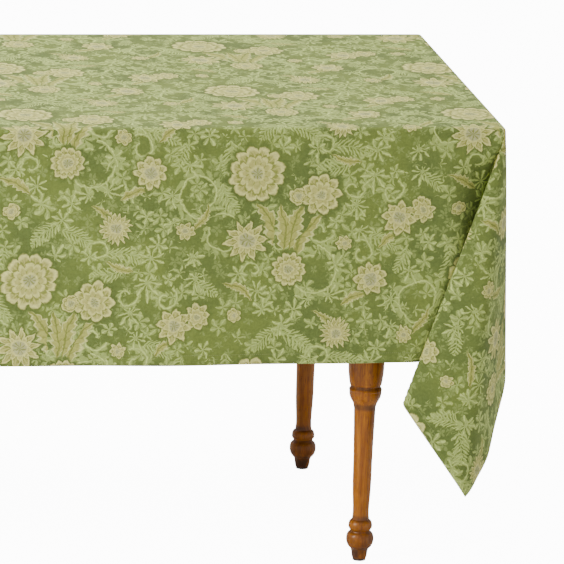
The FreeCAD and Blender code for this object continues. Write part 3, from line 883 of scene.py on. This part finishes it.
# %% Scattered leaves and weave
def texture(tree, kind, vector, scale, outputs, **values):
    """A texture node with its scale and other numbers set. Gives the outputs asked for."""
    node = tree.nodes.new("ShaderNodeTex" + kind)
    plug(tree, vector, node.inputs["Vector"])
    plug(tree, scale, node.inputs["Scale"])
    for name, value in values.items():
        plug(tree, value, node.inputs[name.replace("_", " ").capitalize()])
    return [Wire(tree, node.outputs[name]) for name in outputs]


def scatter_group():
    """A sprig of five narrow leaves at each scattered point, with the point's own turn and size."""
    tree, (cloth, spacing), out = new_group("scattered leaves", {"Cloth": "Vector", "Spacing": "Float"},
                                            LEAF_OUTPUTS)
    places = cloth.vector("SCALE", spacing.math("POWER", -1.0))
    color, position = texture(tree, "Voronoi", places, 1.0, ["Color", "Position"], randomness=0.85)
    turn, size, _ = color.parts()
    local = places.vector("SUBTRACT", position).turned(turn * math.tau)
    leaf, line = use_group(tree, STAR, local.vector("SCALE", size * -0.4 + 1.9), (5.0, 0.4, 0.80))
    close_group(tree, out, leaf, line)
    return tree


def weave_group():
    """A checkerboard says which yarn lies on top, and that yarn's ridge is a triangle wave across it.
    Slubs are noise drawn out along each yarn, and a slow noise adds the softness of worn cloth.
    """
    tree, (cloth, yarn), out = new_group("weave", {"Cloth": "Vector", "Yarn": "Float"},
                                         {"Height": "Float", "Slub": "Float"})
    x, y, _ = cloth.parts()
    across = (x / yarn).wave(1.0)
    down = (y / yarn).wave(1.0)
    over = ((x / yarn).math("FLOOR") + (y / yarn).math("FLOOR")).wave(2.0)
    ridges = mixed(over, across, down, "FLOAT")
    warp, = texture(tree, "Noise", cloth.vector("MULTIPLY", (900.0, 60.0, 1.0)), 1.0, ["Fac"], detail=1.0)
    weft, = texture(tree, "Noise", cloth.vector("MULTIPLY", (60.0, 900.0, 1.0)), 1.0, ["Fac"], detail=1.0)
    slub = warp + weft - 1.0
    soft, = texture(tree, "Noise", cloth, 11.0, ["Fac"], detail=3.0)
    close_group(tree, out, ridges * 0.5 + slub + soft * 7.0, slub)
    return tree


SCATTER = scatter_group()
WEAVE = weave_group()
print("scatter and weave", len(SCATTER.nodes), len(WEAVE.nodes), "nodes")

# %% [markdown]
# ## The print
# A cloth printer lays one colour after another, and so does this group: the green
# ground with its slow change of tone, a deeper green round each flower, the sprigs, the
# curls, stars and sprays with their pale veins, the broad leaves, and last the flowers.
# Two noises shake the drawing a little, so no line looks ruled, and the yarns take the
# dye unevenly.

# %% Dyes and spacings
GROUND = (0.132, 0.176, 0.042, 1)
GROUND_LIGHT = (0.180, 0.230, 0.048, 1)
GROUND_DEEP = (0.105, 0.142, 0.032, 1)
LEAF_DEEP = (0.265, 0.335, 0.090, 1)
LEAF = (0.370, 0.455, 0.118, 1)
LEAF_PALE = (0.590, 0.680, 0.200, 1)
LEAF_GOLD = (0.430, 0.430, 0.105, 1)
LEAF_EDGE = (0.640, 0.650, 0.230, 1)
PETAL = (0.500, 0.480, 0.135, 1)
OUTLINE = (0.700, 0.680, 0.225, 1)
OLIVE_LINE = (0.220, 0.250, 0.050, 1)
HEART = (0.480, 0.470, 0.210, 1)
LEAF_KINDS = ((CURL, CURLS), (STAR, STARS), (SPRAY, SPRAYS))
PRINT_INPUTS = {"Cloth": "Vector"}
PRINT_OUTPUTS = {"Color": "Color", "Height": "Float"}
SPRIG_SPACING = 0.031
SMALL_SPRIG_SPACING = 0.019
YARN = 0.0007
print("sprigs", SPRIG_SPACING, "and", SMALL_SPRIG_SPACING, "m apart, yarn", YARN, "m")


# %% The print
def shaken(tree, cloth):
    """The place on the cloth plus a slow and a fine wobble, up to a few millimetres."""
    wobble, = texture(tree, "Noise", cloth, 42.0, ["Color"], detail=2.0)
    drawn = cloth.vector("ADD", wobble.vector("SUBTRACT", (0.5, 0.5, 0.5)).vector("SCALE", 0.012))
    tremor, = texture(tree, "Noise", cloth, 170.0, ["Color"], detail=1.0)
    return drawn.vector("ADD", tremor.vector("SUBTRACT", (0.5, 0.5, 0.5)).vector("SCALE", 0.0045))


def printed_cotton():
    """The layers of the print from the ground up, each laid over the last by its mask."""
    tree, (cloth,), out = new_group("flower print", PRINT_INPUTS, PRINT_OUTPUTS)
    drawn = shaken(tree, cloth)
    patch, = texture(tree, "Noise", cloth, 9.0, ["Fac"], detail=2.0)
    color = mixed(patch.fade(0.35, 0.65), GROUND, GROUND_LIGHT)
    local, traits = nearest_of(tree, drawn, FLOWERS)
    petals, rim, lines, heart, halo = use_group(tree, FLOWER, local, traits)
    free = halo * -1.0 + 1.0
    color = mixed(halo * 0.55, color, GROUND_DEEP)
    fine, _ = use_group(tree, SCATTER, drawn.vector("ADD", (0.3, 0.7, 0.0)), SMALL_SPRIG_SPACING)
    color = mixed(fine * free * 0.8, color, LEAF_DEEP)
    twig, twig_line = use_group(tree, SCATTER, drawn, SPRIG_SPACING)
    color = mixed(twig * free * 0.8, color, LEAF)
    color = mixed(twig_line * free * 0.6, color, LEAF_PALE)
    for group, motifs in LEAF_KINDS:
        local, traits = nearest_of(tree, drawn, motifs)
        leaf, line = use_group(tree, group, local, traits)
        color = mixed(leaf * free * 0.9, color, LEAF)
        color = mixed(line * free, color, LEAF_PALE)
    local, traits = nearest_of(tree, drawn, LEAVES)
    leaf, leaf_rim, leaf_line = use_group(tree, BROAD_LEAF, local, traits)
    color = mixed(leaf * free, color, LEAF_GOLD)
    color = mixed(leaf_line * free, color, OLIVE_LINE)
    color = mixed(leaf_rim * free, color, LEAF_EDGE)
    color = mixed(petals, color, PETAL)
    color = mixed(heart * petals, color, HEART)
    color = mixed(lines, color, OLIVE_LINE)
    color = mixed(rim, color, OUTLINE)
    height, slub = use_group(tree, WEAVE, cloth, YARN)
    ink, = texture(tree, "Noise", drawn, 230.0, ["Fac"], detail=3.0, roughness=0.7)
    tone = slub.fade(-0.6, 0.6) * 0.16 + ink.fade(0.32, 0.68) * 0.26 + 0.79
    color = color.vector("SCALE", tone)
    close_group(tree, out, color, height)
    return tree


PRINT = printed_cotton()
print("print group", len(PRINT.nodes), "nodes")

# %% [markdown]
# ## Cotton
# Washed cotton is dull: a high roughness, very little gloss, and a faint sheen from the
# loose fibres that stand up at a glancing view. The weave's height goes through a Bump
# node, because yarns of 0.7 mm are too fine to model.


# %% Cotton
def new_material(name):
    """A material with its Principled shader, ready for wires."""
    material = bpy.data.materials.new(name)
    material.use_nodes = True
    tree = material.node_tree
    return material, tree, tree.nodes["Principled BSDF"]


def bumped(tree, shader, height, distance, strength=1.0):
    """Join a height to the shader's normal through a Bump node."""
    bump = tree.nodes.new("ShaderNodeBump")
    bump.inputs["Strength"].default_value = strength
    bump.inputs["Distance"].default_value = distance
    plug(tree, height, bump.inputs["Height"])
    tree.links.new(bump.outputs[0], shader.inputs["Normal"])


def cotton_material(name, print_group):
    """Dry cotton: rough, with the faint sheen of loose fibres, the print's colour and the weave's bump.
    """
    material, tree, shader = new_material(name)
    place = tree.nodes.new("ShaderNodeUVMap")
    place.uv_map = "cloth"
    color, height = use_group(tree, print_group, Wire(tree, place.outputs[0]))
    plug(tree, color, shader.inputs["Base Color"])
    shader.inputs["Roughness"].default_value = 0.85
    shader.inputs["Sheen Weight"].default_value = 0.05
    shader.inputs["Sheen Roughness"].default_value = 0.6
    shader.inputs["Specular IOR Level"].default_value = 0.12
    bumped(tree, shader, height, 0.00025, 0.6)
    return material


print_cotton = cotton_material("print_cotton", PRINT)
cloth.data.materials.append(print_cotton)
print("finish of the right side", print_cotton.name)

# %% [markdown]
# ## The wrong side
# A printed cotton is coloured from one side only. On its wrong side, which shows on the
# turned hem and under the drops, the print comes through paler, mostly on the yarns
# that stand up.

# %% The wrong side
BARE_COTTON = (0.420, 0.470, 0.200, 1)


def wrong_side():
    """The print mixed towards the bare cloth, as it looks from the back."""
    tree, (cloth,), out = new_group("print from the back", PRINT_INPUTS, PRINT_OUTPUTS)
    color, height = use_group(tree, PRINT, cloth)
    bare = (height - 3.5).fade(-2.5, 2.5) * 0.2 + 0.38
    close_group(tree, out, mixed(bare, color, BARE_COTTON), height)
    return tree


hem_cotton = cotton_material("hem_cotton", wrong_side())
hem.data.materials.append(hem_cotton)
cloth.data.materials.append(hem_cotton)
print("finish of the wrong side", hem_cotton.name)

# %% [markdown]
# ## Sewing thread
# The thread is a plain green cotton, dyed a little unevenly, with a twist that shows as
# a fine slanted ripple.


# %% Sewing thread
TWIST = 0.0009


def object_place(tree):
    """The point's place in the frame, in metres."""
    node = tree.nodes.new("ShaderNodeTexCoord")
    return Wire(tree, node.outputs["Object"])


def thread_material():
    """Twisted sewing thread: a fine slanted ripple in height, and a little change of dye along it."""
    material, tree, shader = new_material("sewing_thread")
    place = object_place(tree)
    dye, = texture(tree, "Noise", place, 180.0, ["Fac"], detail=1.0)
    x, y, z = place.parts()
    twist = ((x + y + z * 1.7) / TWIST).wave(1.0)
    plug(tree, mixed(dye, (0.22, 0.27, 0.07, 1), (0.34, 0.38, 0.14, 1)), shader.inputs["Base Color"])
    shader.inputs["Roughness"].default_value = 0.7
    bumped(tree, shader, twist, 0.0001, 0.6)
    return material


stitches.data.materials.append(thread_material())
print("thread on", len(stitches.data.polygons), "faces")

# %% [markdown]
# ## Wood grain
# Wood is drawn along its length: growth rings show as long bands, pores as short dark
# dashes. The group reads a place whose X axis runs along the grain, so a piece cut in
# another direction turns its place first.


# %% Wood grain
def grain_group():
    """Bands are a triangle wave of two noises that change slowly along the grain. Fibres and pores are
    finer noises, drawn out along the length.
    """
    masks = {name: "Float" for name in ("Bands", "Fibres", "Pores", "Cloud")}
    tree, (place,), out = new_group("wood grain", {"Along the grain": "Vector"}, masks)

    def drawn_out(along, across, detail):
        """Noise with so many spots to the metre along the grain and across it."""
        squeezed = place.vector("MULTIPLY", (along, across, across))
        return texture(tree, "Noise", squeezed, 1.0, ["Fac"], detail=detail)[0]

    sway = drawn_out(1.6, 7.0, 2.0)
    ring = drawn_out(0.9, 42.0, 1.0)
    bands = (sway * 9.0 + ring * 3.0).wave(1.0)
    fibres = drawn_out(9.0, 420.0, 2.0)
    pores = drawn_out(70.0, 1500.0, 0.0)
    cloud, = texture(tree, "Noise", place, 9.0, ["Fac"], detail=2.0)
    close_group(tree, out, bands, fibres, pores.fade(0.62, 0.70), cloud)
    return tree


GRAIN = grain_group()
print("wood grain", len(GRAIN.nodes), "nodes")

# %% [markdown]
# ## Legs and boards
# The legs are turned from beech, stained a honey brown and varnished. A dark brown is painted
# in as shade in the turned grooves, over the foot and most on the toe. The boards are
# the same wood planed flat, and the battens and braces under the top were left raw.


# %% Legs with painted shade
def along_grain(tree, axis):
    """Object place turned so that its X runs along the piece: axis is x, y, z or an angle in the
    table's plane.
    """
    place = object_place(tree)
    if axis == "z":
        x, y, z = place.parts()
        joined = tree.nodes.new("ShaderNodeCombineXYZ")
        for wire, socket in zip((z, x, y), joined.inputs):
            plug(tree, wire, socket)
        return Wire(tree, joined.outputs[0])
    return place.turned(math.radians({"x": 0, "y": 90}.get(axis, axis)))


def wood_material(name, axis, light, dark, pore, gloss):
    """Light and dark wood mixed by bands, fibres and clouds, with the pores laid over. Gives the colour
    back, so that painted shade can go over it.
    """
    material, tree, shader = new_material(name)
    bands, fibres, pores, cloud = use_group(tree, GRAIN, along_grain(tree, axis))
    color = mixed(bands * 0.45 + fibres.fade(0.3, 0.7) * 0.4 + cloud * 0.3, light, dark)
    color = mixed(pores * 0.6, color, pore)
    plug(tree, fibres * 0.12 + (gloss - 0.06), shader.inputs["Roughness"])
    bumped(tree, shader, fibres * 0.5 - pores, 0.0002, 0.5)
    return material, tree, shader, color


# Height above the floor and half width of each turned groove of a leg.
GROOVES = [(0.0505, 0.006), (0.0725, 0.008), (0.2975, 0.005), (0.264, 0.008), (0.531, 0.007),
           (0.560, 0.006), (0.022, 0.007)]
# Dark brown painted as shade in the grooves, over the foot and on the toe.
PAINTED_SHADE_BROWN = (0.075, 0.028, 0.010, 1)
# Light wood, dark wood, pores, and roughness.
HONEY = ((0.54, 0.180, 0.002, 1), (0.21, 0.055, 0.001, 1), (0.08, 0.020, 0.001, 1), 0.32)


def leg_wood():
    """Painted shade over the wood: a soft step at the toe, a weaker one over the foot, and a dark hump
    of the height at each groove.
    """
    material, tree, shader, color = wood_material("honey_wood", "z", *HONEY)
    shader.inputs["Specular IOR Level"].default_value = 0.35
    place = object_place(tree)
    z = place.parts()[2]
    # Painted shade: darkest on the toe, weaker over the foot, and in each turned groove.
    painted_shade = (z.fade(0.085, 0.040) * 0.45).math("MAXIMUM", z.fade(0.036, 0.014))
    for groove, width in GROOVES:
        hump = (z - groove).math("ABSOLUTE").fade(width, width * 0.25)
        painted_shade = painted_shade.math("MAXIMUM", hump * 0.75)
    # Noise that breaks up the painted shade.
    shade_noise, = texture(tree, "Noise", place, 60.0, ["Fac"], detail=3.0)
    plug(tree, mixed(painted_shade * shade_noise.fade(0.15, 0.6), color, PAINTED_SHADE_BROWN), shader.inputs["Base Color"])
    return material


# The leg wood carries painted shade in its grooves and over its foot.
honey_wood = leg_wood()
print("leg wood with", len(GROOVES), "stained grooves")

# %% Boards and frame
# Light wood, dark wood, pores, and roughness.
BOARD = ((0.58, 0.225, 0.020, 1), (0.32, 0.105, 0.010, 1), (0.11, 0.035, 0.005, 1), 0.40)
RAW = ((0.60, 0.42, 0.22, 1), (0.42, 0.27, 0.12, 1), (0.20, 0.12, 0.05, 1), 0.62)


def flat_wood(name, axis, tones):
    """Planed wood with its grain along an axis."""
    material, tree, shader, color = wood_material(name, axis, *tones)
    plug(tree, color, shader.inputs["Base Color"])
    return material


table_wood_long = flat_wood("table_wood_long", "x", BOARD)
table_wood_cross = flat_wood("table_wood_cross", "y", BOARD)
frame_wood_cross = flat_wood("frame_wood_cross", "y", RAW)
frame_wood_rising = flat_wood("frame_wood_rising", 45, RAW)
frame_wood_falling = flat_wood("frame_wood_falling", -45, RAW)
print("woods", [m.name for m in bpy.data.materials if "wood" in m.name])

# %% [markdown]
# ## Steel and nylon
# The fasteners are zinc plated: a cold pale metal whose crystals show as patches of
# lighter and darker grey, duller where it was handled. The floor glides are moulded
# nylon, dark and slightly grained, scuffed underneath.


# %% Fasteners and glides
def zinc():
    """Crystal patches from Voronoi cells, streaked by fine noise, for tint and roughness."""
    material, tree, shader = new_material("zinc_steel")
    place = object_place(tree)
    cells, = texture(tree, "Voronoi", place, 420.0, ["Color"])
    streak, = texture(tree, "Noise", place, 900.0, ["Fac"], detail=2.0)
    patch = cells.parts()[0]
    plug(tree, mixed(patch, (0.50, 0.51, 0.53, 1), (0.68, 0.68, 0.66, 1)), shader.inputs["Base Color"])
    plug(tree, patch * 0.14 + streak * 0.2 + 0.22, shader.inputs["Roughness"])
    shader.inputs["Metallic"].default_value = 1.0
    bumped(tree, shader, streak, 0.00005, 0.5)
    return material


def nylon():
    """Moulded grain from fine noise, with paler scuffs near the floor."""
    material, tree, shader = new_material("glide_nylon")
    place = object_place(tree)
    grain, = texture(tree, "Noise", place, 1400.0, ["Fac"], detail=1.0)
    scratches = place.vector("MULTIPLY", (300.0, 900.0, 300.0))
    scuff, = texture(tree, "Noise", scratches, 1.0, ["Fac"], detail=3.0)
    worn = scuff.fade(0.5, 0.75) * place.parts()[2].fade(0.003, 0.0)
    plug(tree, mixed(worn, (0.045, 0.035, 0.028, 1), (0.20, 0.17, 0.14, 1)), shader.inputs["Base Color"])
    plug(tree, grain * 0.2 + 0.42, shader.inputs["Roughness"])
    bumped(tree, shader, grain, 0.00005, 0.6)
    return material


zinc_steel = zinc()
glide_nylon = nylon()
print("metal and plastic", zinc_steel.name, glide_nylon.name)

# %% [markdown]
# ## Which piece gets which finish
# The table's pieces come from the frame with names that say what they are, so one
# function picks the finish by name. Boards have their grain along their length: along
# the table, across it, or slanted for the corner braces.


# %% Finishes of the table's pieces
def finish_of(name):
    """The finish of each table piece by its name."""
    if name.startswith("leg_"):
        return honey_wood
    if name.startswith(("top_board", "apron_front", "apron_back")):
        return table_wood_long
    if name.startswith("apron"):
        return table_wood_cross
    if name.startswith("batten_") and name != "batten_screws":
        return frame_wood_cross
    if name in ("brace_front_left", "brace_back_right"):
        return frame_wood_rising
    if name in ("brace_front_right", "brace_back_left"):
        return frame_wood_falling
    if name.startswith("glide"):
        return glide_nylon
    return zinc_steel


table_nodes = [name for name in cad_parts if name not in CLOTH_NODES + HEM_NODES]
for name in table_nodes:
    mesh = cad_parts[name].data
    mesh.materials.clear()
    mesh.materials.append(finish_of(name))
print("finished", len(table_nodes), "table pieces")

# %% [markdown]
# ## Camera
# The camera stands ten metres back and well to the left, about as high as a tall
# tripod on a step, and looks down at the right half of the table through a long lens,
# which keeps upright things nearly parallel. It is rolled by two degrees.

# %% Camera
IMAGE_SIDE = 564
SENSOR = 36
ASIDE, BACK, UP = 2.11, 10.0, 2.99
YAW, PITCH, ROLL = math.radians(9.93), math.radians(13.8), math.radians(2.02)


def look(location, yaw, pitch, roll, lens_steps):
    """Camera that looks along +Y, then is turned right, tipped down and rolled. The lens is the focal
    length in steps of the image, of which a side has IMAGE_SIDE.
    """
    cam = bpy.data.cameras.new("camera")
    obj = bpy.data.objects.new("camera", cam)
    bpy.context.scene.collection.objects.link(obj)
    tip = Matrix.Rotation(math.pi / 2 - pitch, 4, "X") @ Matrix.Rotation(roll, 4, "Z")
    obj.matrix_world = Matrix.Translation(location) @ Matrix.Rotation(-yaw, 4, "Z") @ tip
    cam.sensor_fit = "HORIZONTAL"
    cam.sensor_width = SENSOR
    cam.lens = lens_steps / IMAGE_SIDE * SENSOR
    cam.clip_end = 100
    bpy.context.scene.camera = obj
    return obj


near_corner = (HALF_TOP_X + STAND_OFF, -HALF_TOP_Y - STAND_OFF)
camera = look((near_corner[0] - ASIDE, near_corner[1] - BACK, UP), YAW, PITCH, ROLL, 6466)
print("lens", round(camera.data.lens), "mm")

# %% [markdown]
# ## Floor and light
# A plain white floor that runs far back and a white room give soft light from all
# sides. To the camera the floor and the room look brighter than they are for the light,
# so the background stays white while the cloth keeps its shading.

# %% Floor and room
BACKDROP = 12.0
ROOM_LIGHT = 0.62
FLOOR_HALF = 30
WHITE = (1, 1, 1, 1)


def bright_to_camera(tree, shader):
    """Adds an even white glow that only the camera's own rays see."""
    path = tree.nodes.new("ShaderNodeLightPath")
    glow = tree.nodes.new("ShaderNodeEmission")
    glow.inputs["Color"].default_value = WHITE
    glow.inputs["Strength"].default_value = BACKDROP
    both = tree.nodes.new("ShaderNodeAddShader")
    choose = tree.nodes.new("ShaderNodeMixShader")
    tree.links.new(shader.outputs[0], both.inputs[0])
    tree.links.new(glow.outputs[0], both.inputs[1])
    tree.links.new(path.outputs["Is Camera Ray"], choose.inputs[0])
    tree.links.new(shader.outputs[0], choose.inputs[1])
    tree.links.new(both.outputs[0], choose.inputs[2])
    return choose.outputs[0]


floor_mesh = bpy.data.meshes.new("floor")
floor_corners = [(x * FLOOR_HALF, y * FLOOR_HALF, 0) for x, y in ((-1, -1), (1, -1), (1, 1), (-1, 1))]
floor_mesh.from_pydata(floor_corners, [], [(0, 1, 2, 3)])
floor = bpy.data.objects.new("floor", floor_mesh)
bpy.context.scene.collection.objects.link(floor)
floor_white, floor_tree, floor_shader = new_material("floor")
floor_shader.inputs["Base Color"].default_value = (0.88, 0.88, 0.88, 1)
floor_shader.inputs["Roughness"].default_value = 0.95
floor_shader.inputs["Specular IOR Level"].default_value = 0.1
floor_out = floor_tree.nodes["Material Output"]
floor_tree.links.new(bright_to_camera(floor_tree, floor_shader), floor_out.inputs["Surface"])
floor.data.materials.append(floor_white)

world = bpy.data.worlds.new("room")
bpy.context.scene.world = world
world.use_nodes = True
room_tree = world.node_tree
background = room_tree.nodes["Background"]
background.inputs["Color"].default_value = WHITE
background.inputs["Strength"].default_value = ROOM_LIGHT
room_out = room_tree.nodes["World Output"]
room_tree.links.new(bright_to_camera(room_tree, background), room_out.inputs["Surface"])
print("floor", 2 * FLOOR_HALF, "m, room light", ROOM_LIGHT)

# %% [markdown]
# ## Lamps
# A large lamp at the front left lights the front drop from the side, which makes its
# dents and flaps readable. A small low one at the right picks out the turned legs, and
# a wide one overhead keeps the top brighter than the drops.


# %% Lamps
def lamp(name, place, target, size, power, spread=180):
    """A square soft lamp turned towards its target. Its spread is the angle of the cone that it fills.
    """
    data = bpy.data.lights.new(name, "AREA")
    data.size = size
    data.spread = math.radians(spread)
    data.energy = power
    obj = bpy.data.objects.new(name, data)
    bpy.context.scene.collection.objects.link(obj)
    obj.location = place
    obj.rotation_euler = (Vector(target) - Vector(place)).to_track_quat("-Z", "Y").to_euler()
    return obj


lamp("key", (-3.0, -1.9, 1.7), (-1.1, -0.3, 0.45), 1.3, 38, 80)
lamp("low right", (2.6, -1.7, 0.25), (0.5, -0.3, 0.2), 0.4, 3)
lamp("overhead", (-0.3, 0.4, 3.4), (0, 0, 0.7), 2.4, 98)
print("lamps", [light.name for light in bpy.data.lights])

# %% [markdown]
